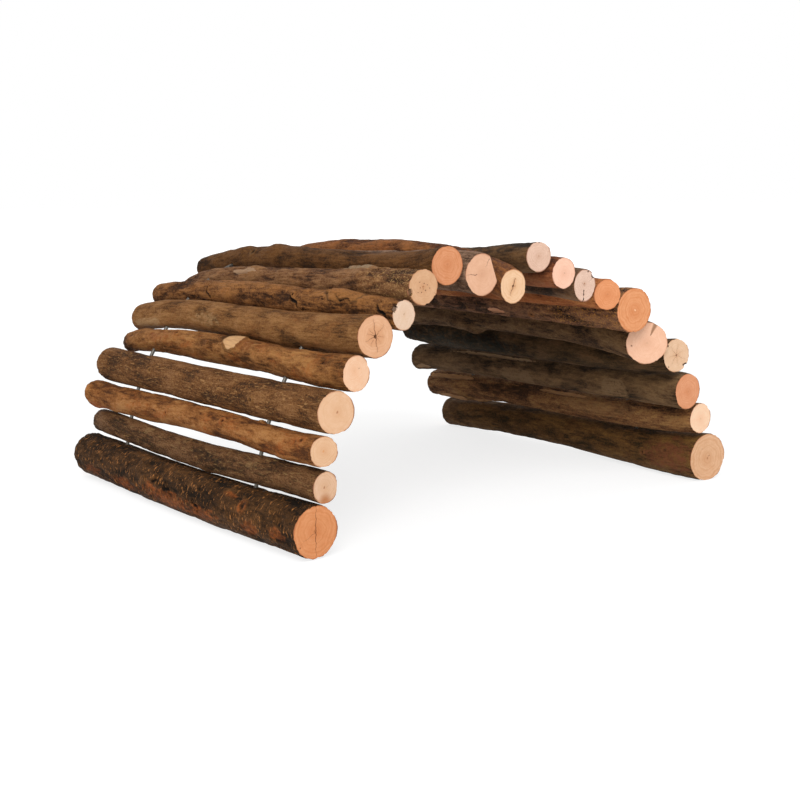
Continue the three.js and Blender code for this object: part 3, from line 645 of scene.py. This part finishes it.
def faceMarks(log, near, turn, part, radius):  # depth, stain and painted shade in the hollows of a sawn face
    depth, tint, hollow = (np.zeros(len(turn)) for _ in range(3))
    clock = turn - radians(log["turn"])
    reach = part * radius

    def farFrom(angle, place):
        lie = radians(angle)
        return np.hypot(reach * np.sin(clock) - place * radius * sin(lie),
                        reach * np.cos(clock) - place * radius * cos(lie))

    cracks, spots = (log["cracks"], log["spots"]) if near else log["farMarks"]
    for angle, start, end, width in cracks:
        off = clock - radians(angle)
        along, side = reach * np.cos(off), reach * np.sin(off)
        for rate, most, turns in crackWaves:
            side = side - most * np.sin(along * rate + radians(angle * turns))
        share = np.clip((along / radius - start) / (end - start), 0, 1)
        taper = 1 - 0.75 * share if start <= crackShape["fromRim"] else 0.25 + 0.75 * share
        there = (along > (start - 0.02) * radius) & (along < (end + 0.02) * radius)
        inside = smooth(width / 2 * taper + 0.25 - np.abs(side), 0, 0.3) * there
        if crackShape["gaping"] < width < crackShape["ingrown"]:
            # open cracks get painted shade as well as depth
            depth, hollow = np.maximum(depth, 1.2 * inside), np.maximum(hollow, 0.85 * inside)
        tint = np.maximum(tint, log["burn"] * np.exp(-(side / 1.3) ** 2) * there * (width > 0.1))
    for angle, place, width in spots:
        inside = smooth(width - farFrom(angle, place), -0.1, 0.3)
        # pits get painted shade as well as depth
        depth, hollow = np.maximum(depth, 0.5 * inside), np.maximum(hollow, 0.75 * inside)
    if near and "stain" in log:
        angle, place, width = log["stain"]
        tint = np.maximum(tint, 0.8 * smooth(width - farFrom(angle, place), 0, width * 0.8))
    if near and "notch" in log:
        angle, place, width = log["notch"]
        inside = smooth(width - farFrom(angle, place), 0, 0.6)
        # the notch gets painted shade as well as depth
        depth, hollow = np.maximum(depth, 1.3 * inside), np.maximum(hollow, 0.8 * inside)
    return depth, tint, hollow


def bring(piece, points):
    piece.data.vertices.foreach_set("co", np.ascontiguousarray(points, dtype=np.float32).ravel())
    piece.data.update()


def pointsOf(piece):
    found = np.empty(len(piece.data.vertices) * 3, np.float32)
    piece.data.vertices.foreach_get("co", found)
    return found.reshape(-1, 3).astype(float)


def fromMiddleLine(turn, share, reach):  # points of a branch as if it were straight
    return np.stack([reach * np.sin(turn), share * branch["length"], reach * np.cos(turn)], 1)


# The bark's relief in millimetres: the height and size of its waves, ridges, fine grain and pores. Towards
# its neighbours a log stands out by beside at most, above and below by beside and outwards together.
relief = dict(wave=(0.75, (11, 30, 11)), ridge=(0.3, (3.4, 12, 3.4)), fine=(0.24, (1.6, 7, 1.6)),
              pore=(0.2, (4, 1.3, 4)), sunk=0.03, beside=0.12, outwards=0.4, dips=1.3, worn=0.16)


def shapeBranch(piece, log, number):  # bends and roughens a plain branch, in its own place
    unit = pointsOf(piece)
    share = unit[:, 1] + 0.5
    turn = np.arctan2(unit[:, 0], unit[:, 2])
    part = np.hypot(unit[:, 0], unit[:, 2])
    part = np.where(part > 0.99, 1, part)
    radius = branchRadius(log, share, turn)
    straight = fromMiddleLine(turn, share, radius)

    def waves(kind, seed):
        height, sizes = relief[kind]
        return height * noiseAt(straight, sizes, seed)

    rough = waves("wave", number) - relief["sunk"]
    rough = rough + log["rough"] * (waves("ridge", number + 40) + waves("fine", number + 80))
    if log["bark"] == "cherry":
        height, sizes = relief["pore"]
        rough = rough + height * smooth(noiseAt(straight, sizes, 9), 0.1, 0.4)
    most = relief["beside"] + relief["outwards"] * np.cos(turn) ** 2
    rough = np.where(rough > 0, most * np.tanh(rough / most), relief["dips"] * rough)
    for mark in log["marks"]:
        rough = rough + barkMark(mark, share, turn, radius, straight)[0]
    for place, length, height in log["collars"]:  # they stand out above and below only
        along = (share - place) * branch["length"] / length
        rough = rough + height * np.cos(turn) ** 2 * np.exp(-(along - 0.4 * np.maximum(along, 0)) ** 2)
    edge = smooth(np.abs(share - 0.5), 0.4966, 0.5)
    worn = relief["worn"] * edge * (1 + noiseAt(straight, (2, 2, 2), number + 20))
    inset = np.zeros(len(share))
    for near in (True, False):
        onFace = (share < 0.0005) if near else (share > 0.9995)
        depth = faceMarks(log, near, turn[onFace], part[onFace], radius[onFace])[0]
        inset[onFace] = depth if near else -depth
    reach = (radius + rough - worn) * part
    if "chord" in log:
        angle, cut = log["chord"]
        lie = np.cos(turn - radians(angle + log["turn"])) * reach
        limit = radius * (cut + 1.4 * smooth(share, 0.0, 0.09))
        reach = np.where(lie > limit, reach * limit / np.maximum(lie, 0.01), reach)
    leanAt, liftAt = branchMiddle(log, share)
    x, z = leanAt + reach * np.sin(turn), liftAt + reach * np.cos(turn)
    y = (share - 0.5) * branch["length"] + log["shift"] * branch["size"] + inset
    y = y - comesNearer(log, share, turn, reach)
    bring(piece, np.stack([x, y, z], 1) * mm)


def keep(piece, name, values, kind="FLOAT"):
    made = piece.data.attributes.new(name, kind, "POINT")
    flat = np.ascontiguousarray(values, dtype=np.float32).ravel()
    made.data.foreach_set("vector" if kind == "FLOAT_VECTOR" else "value", flat)


def readBack(log, points):  # share along, turn and reach of points on a bent branch
    share = np.clip((points[:, 1] - log["shift"] * branch["size"]) / branch["length"] + 0.5, 0, 1)
    for i in range(3):
        leanAt, liftAt = branchMiddle(log, share)
        x, z = points[:, 0] - leanAt, points[:, 2] - liftAt
        turn, reach = np.arctan2(x, z), np.hypot(x, z)
        y = points[:, 1] + comesNearer(log, share, turn, reach)
        share = np.clip((y - log["shift"] * branch["size"]) / branch["length"] + 0.5, 0, 1)
    return share, turn, reach


# What counts as a sawn face: how near the ends, how square to the branch and how far inside the bark. Faces
# deeper than drilled millimetres are the walls of the wire holes, which are bare wood too.
sawnPlace = dict(ends=0.006, inside=0.965, square=0.7, faceEnds=0.01, drilled=2.2)


def dressBranch(piece, log):  # what the materials read, and which faces are bark
    share, turn, reach = readBack(log, pointsOf(piece) / mm)
    radius = branchRadius(log, share, turn)
    straight = fromMiddleLine(turn, share, radius)
    marked = np.zeros((3, len(share)))
    for mark in log["marks"]:
        marked = np.maximum(marked, barkMark(mark, share, turn, radius, straight)[1:])
    tint, bare, hollow = marked
    for near in (True, False):
        onFace = (share < sawnPlace["ends"]) if near else (share > 1 - sawnPlace["ends"])
        onFace &= reach < radius * sawnPlace["inside"]
        part = reach[onFace] / radius[onFace]
        _, tint[onFace], hollow[onFace] = faceMarks(log, near, turn[onFace], part, radius[onFace])
        bare[onFace] = 0
    keep(piece, "grain", fromMiddleLine(turn, share, reach) * mm, "FLOAT_VECTOR")
    keep(piece, "rim", radius - reach)
    keep(piece, "tint", tint)
    keep(piece, "bare", bare)
    # painted shade in the hollows, read by both finishes
    keep(piece, "hollow", np.clip(hollow, 0, 1))
    faces = piece.data.polygons
    middles, normals = np.empty(len(faces) * 3, np.float32), np.empty(len(faces) * 3, np.float32)
    faces.foreach_get("center", middles)
    faces.foreach_get("normal", normals)
    share, turn, reach = readBack(log, middles.reshape(-1, 3) / mm)
    sawn = np.abs(normals.reshape(-1, 3)[:, 1]) > sawnPlace["square"]
    sawn &= np.abs(share - 0.5) > 0.5 - sawnPlace["faceEnds"]
    drilled = reach < branchRadius(log, share, turn) - sawnPlace["drilled"]
    faces.foreach_set("material_index", (sawn | drilled).astype(np.int32))


# The wires, their holes, and the groove under each end log for a turned-over wire end, in millimetres
wire = dict(size=2.5, hole=3.3, near=-84, far=95, hook=14, hookDepth=2.45, groove=3.3, spare=0.4, bendReach=3,
            bendSteps=9, holeSides=24, crease=50, cutter=60)


def drillBit():  # cuts both wire holes
    for place in (wire["near"], wire["far"]):
        bpy.ops.mesh.primitive_cylinder_add(vertices=wire["holeSides"], radius=wire["hole"] / 2 * mm,
                                            depth=wire["cutter"] * mm, location=(0, place * mm, 0),
                                            rotation=(0, pi / 2, 0))
        bpy.context.object.name = f"drill {place}"
    for place in (wire["near"], wire["far"]):
        bpy.data.objects[f"drill {place}"].select_set(True)
    bpy.ops.object.join()
    bpy.ops.object.transform_apply()
    return bpy.context.object


def hookOffset(log, side):  # how far a turned-over wire end lies from its hole
    return float(branchRadius(log, bowShares[2], side * pi / 2)) - wire["hookDepth"]


def grooveCutter(log, side, place):
    length = wire["hole"] / 2 + wire["hook"] + wire["spare"]
    bpy.ops.mesh.primitive_cube_add(size=1, location=(0, 0, 0))
    cutter = bpy.context.object
    cutter.scale = (wire["cutter"] / 2 * mm, length * mm, wire["groove"] * mm)
    x = side * (hookOffset(log, side) - wire["groove"] / 2 + wire["cutter"] / 4)
    cutter.location = (x * mm, (place - copysign(1, place) * (length / 2 - wire["hole"] / 2)) * mm, 0)
    bpy.ops.object.transform_apply()
    return cutter


def cutAway(piece, cutter):
    modifier = piece.modifiers.new("cut", "BOOLEAN")
    modifier.operation, modifier.object, modifier.solver = "DIFFERENCE", cutter, "MANIFOLD"
    takeUp(piece)
    bpy.ops.object.modifier_apply(modifier=modifier.name)


def standInPlace(piece, log):  # from the log's own place to its place in the bridge
    lie = radians(log["turn"])
    x, y, z = pointsOf(piece).T
    acrossAll, up = log["place"][0] * mm, log["place"][1] * mm
    placed = np.stack([acrossAll + x * cos(lie) - z * sin(lie), y + branch["slide"] * mm,
                       up + x * sin(lie) + z * cos(lie)], 1)
    bring(piece, np.clip(placed, cadBox[0], cadBox[1]))


master = plainBranch()
drill = drillBit()
chance = random.Random(7)
for number, (name, log) in enumerate(logs.items(), 1):
    starAngles = [chance.uniform(0, 360) for _ in range(3)]
    stars = [(a, 0, chance.uniform(0.35, 0.8), chance.uniform(0.1, 0.35)) for a in starAngles[:number % 4]]
    log["farMarks"] = (stars, [(0, 0, 0.4)])
    takeUp(master)
    bpy.ops.object.duplicate()
    piece = bpy.context.object
    piece.name = piece.data.name = f"branch_{number:02d}"
    shapeBranch(piece, log, number)
    cutAway(piece, drill)
    if number in (1, len(logs)):
        for place in (wire["near"], wire["far"]):
            groove = grooveCutter(log, -1 if number == 1 else 1, place)
            cutAway(piece, groove)
            bpy.data.objects.remove(groove)
    piece.data.materials.clear()
    dressBranch(piece, log)
    standInPlace(piece, log)
    bpy.ops.object.shade_smooth_by_angle(angle=radians(bar["crease"]))
    piece.data.materials.append(barkFinish(f"bark of {name}", log))
    sawTurn = radians(chance.uniform(0, 180))
    piece.data.materials.append(woodFinish(f"sawn face of {name}", log, sawTurn))
    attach(piece, name)
    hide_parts(name)
    print(f"{name} shaped, {len(piece.data.polygons)} faces")
bpy.data.objects.remove(master)
bpy.data.objects.remove(drill)

# The wires: in every gap a stretch from the middle of one log to that of the next, and the turned-over ends
steel = steelFinish()


def placeOf(log, x, y):
    lie = radians(log["turn"])
    acrossAll, up = log["place"]
    return np.array((acrossAll + x * cos(lie), y + branch["slide"], up + x * sin(lie)))


def wirePiece(name, points, node):
    route = bpy.data.curves.new(name, "CURVE")
    route.dimensions = "3D"
    route.bevel_depth, route.bevel_resolution, route.use_fill_caps = wire["size"] / 2 * mm, 4, True
    line = route.splines.new("POLY")
    line.points.add(len(points) - 1)
    for point, place in zip(line.points, points):
        point.co = (*(place * mm), 1)
    piece = bpy.data.objects.new(name, route)
    bpy.context.collection.objects.link(piece)
    takeUp(piece)
    bpy.ops.object.convert(target="MESH")
    piece = bpy.context.object
    bpy.ops.object.mode_set(mode="EDIT")
    bpy.ops.mesh.select_all(action="SELECT")
    bpy.ops.mesh.remove_doubles(threshold=0.00001)
    bpy.ops.mesh.normals_make_consistent()
    bpy.ops.object.mode_set(mode="OBJECT")
    bpy.ops.object.shade_smooth_by_angle(angle=radians(wire["crease"]))
    piece.data.materials.append(steel)
    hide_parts(node)
    return piece


hinges = {joint["name"]: np.array(joint["pos_m"]) / mm for joint in frame["joints"]}
rows = list(logs.items())
for node, place in (("near_wire", wire["near"]), ("far_wire", wire["far"])):
    for gap in range(1, len(rows)):
        (bodyA, logA), (bodyB, logB) = rows[gap - 1], rows[gap]
        hinge = hinges[f"bend_{gap:02d}"] + np.array((0, place, 0))
        start, end = placeOf(logA, 0, place), placeOf(logB, 0, place)
        enter, leave = (hinge + (far - hinge) / np.linalg.norm(far - hinge) * wire["bendReach"]
                        for far in (start, end))
        bend = [enter * (1 - t) ** 2 + hinge * 2 * t * (1 - t) + leave * t * t
                for t in np.linspace(0, 1, wire["bendSteps"])]
        piece = wirePiece(f"{node}_{gap:02d}", [start, *bend, end], node)
        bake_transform(piece)
    for side, (body, log) in ((-1, rows[0]), (1, rows[-1])):
        offset = hookOffset(log, side)
        corner, towards = wire["hole"] / 2, -copysign(1, place)
        route = [placeOf(log, 0, place)]
        for angle in np.linspace(0, pi / 2, wire["bendSteps"]):
            out, back = offset - corner + corner * sin(angle), corner * (1 - cos(angle))
            route.append(placeOf(log, side * out, place + towards * back))
        route.append(placeOf(log, side * offset, place + towards * wire["hook"]))
        piece = wirePiece(f"{node}_end_{'left' if side < 0 else 'right'}", route, node)
        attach(piece, body)
print("wires threaded")

# A pale floor and backdrop, white to the camera but for the bridge's shadow, and soft light
floor = dict(size=80, sink=0.0002, bounce=0.92, lit=0.9, shadow=0.35, white=1.2, fadeStart=0.7, fadeEnd=1.6)
sky = dict(light=0.62, seen=1)
lamps = {
    "key": dict(place=(-1.3, -1.7, 1.9), size=1.4, power=42),
    "fill": dict(place=(-1.5, -1.3, 0.5), size=1.4, power=9),
}
bpy.ops.object.select_all(action="DESELECT")
bpy.ops.mesh.primitive_plane_add(size=floor["size"], location=(0, 0, -floor["sink"]))
ground = bpy.context.object
ground.name = "floor"


def whereSeen():  # one for rays from the camera, mirrors and glass, nought for the rays that carry light
    rays = add("LightPath")
    mirrored = sums("MAXIMUM", rays.outputs["Is Glossy Ray"], rays.outputs["Is Transmission Ray"])
    return sums("MAXIMUM", rays.outputs["Is Camera Ray"], mirrored)


pale, shader = newFinish("pale floor")
pale.node_tree.nodes.remove(shader)
floorPlace = add("TexCoord").outputs["Object"]
fromMiddle = add("VectorMath", {0: floorPlace}, operation="LENGTH").outputs[1]
fade = spread(fromMiddle, floor["fadeStart"], floor["fadeEnd"], floor["shadow"], 0)
white = add("Emission", {"Color": (1, 1, 1, 1), "Strength": floor["white"]})
lit = add("BsdfDiffuse", {"Color": (floor["lit"],) * 3 + (1,)})
shown = add("MixShader", {0: fade, 1: white.outputs[0], 2: lit.outputs[0]})
dim = add("BsdfDiffuse", {"Color": (floor["bounce"],) * 3 + (1,)})
both = add("MixShader", {0: whereSeen(), 1: dim.outputs[0], 2: shown.outputs[0]})
link(both.outputs[0], pale.node_tree.nodes["Material Output"].inputs["Surface"])
ground.data.materials.append(pale)

world = bpy.data.worlds.new("studio")
bpy.context.scene.world = world
world.use_nodes = True
bench["tree"] = world.node_tree
backdrop = world.node_tree.nodes["Background"].inputs
link(spread(whereSeen(), 0, 1, sky["light"], sky["seen"]), backdrop["Strength"])
backdrop["Color"].default_value = (1, 1, 1, 1)

for name, lamp in lamps.items():
    bpy.ops.object.light_add(type="AREA", location=lamp["place"])
    light = bpy.context.object
    light.name, light.data.size, light.data.energy = name, lamp["size"], lamp["power"]
    light.rotation_euler = (-light.location).to_track_quat("-Z", "Y").to_euler()
print("stage set")

bpy.context.view_layer.update()
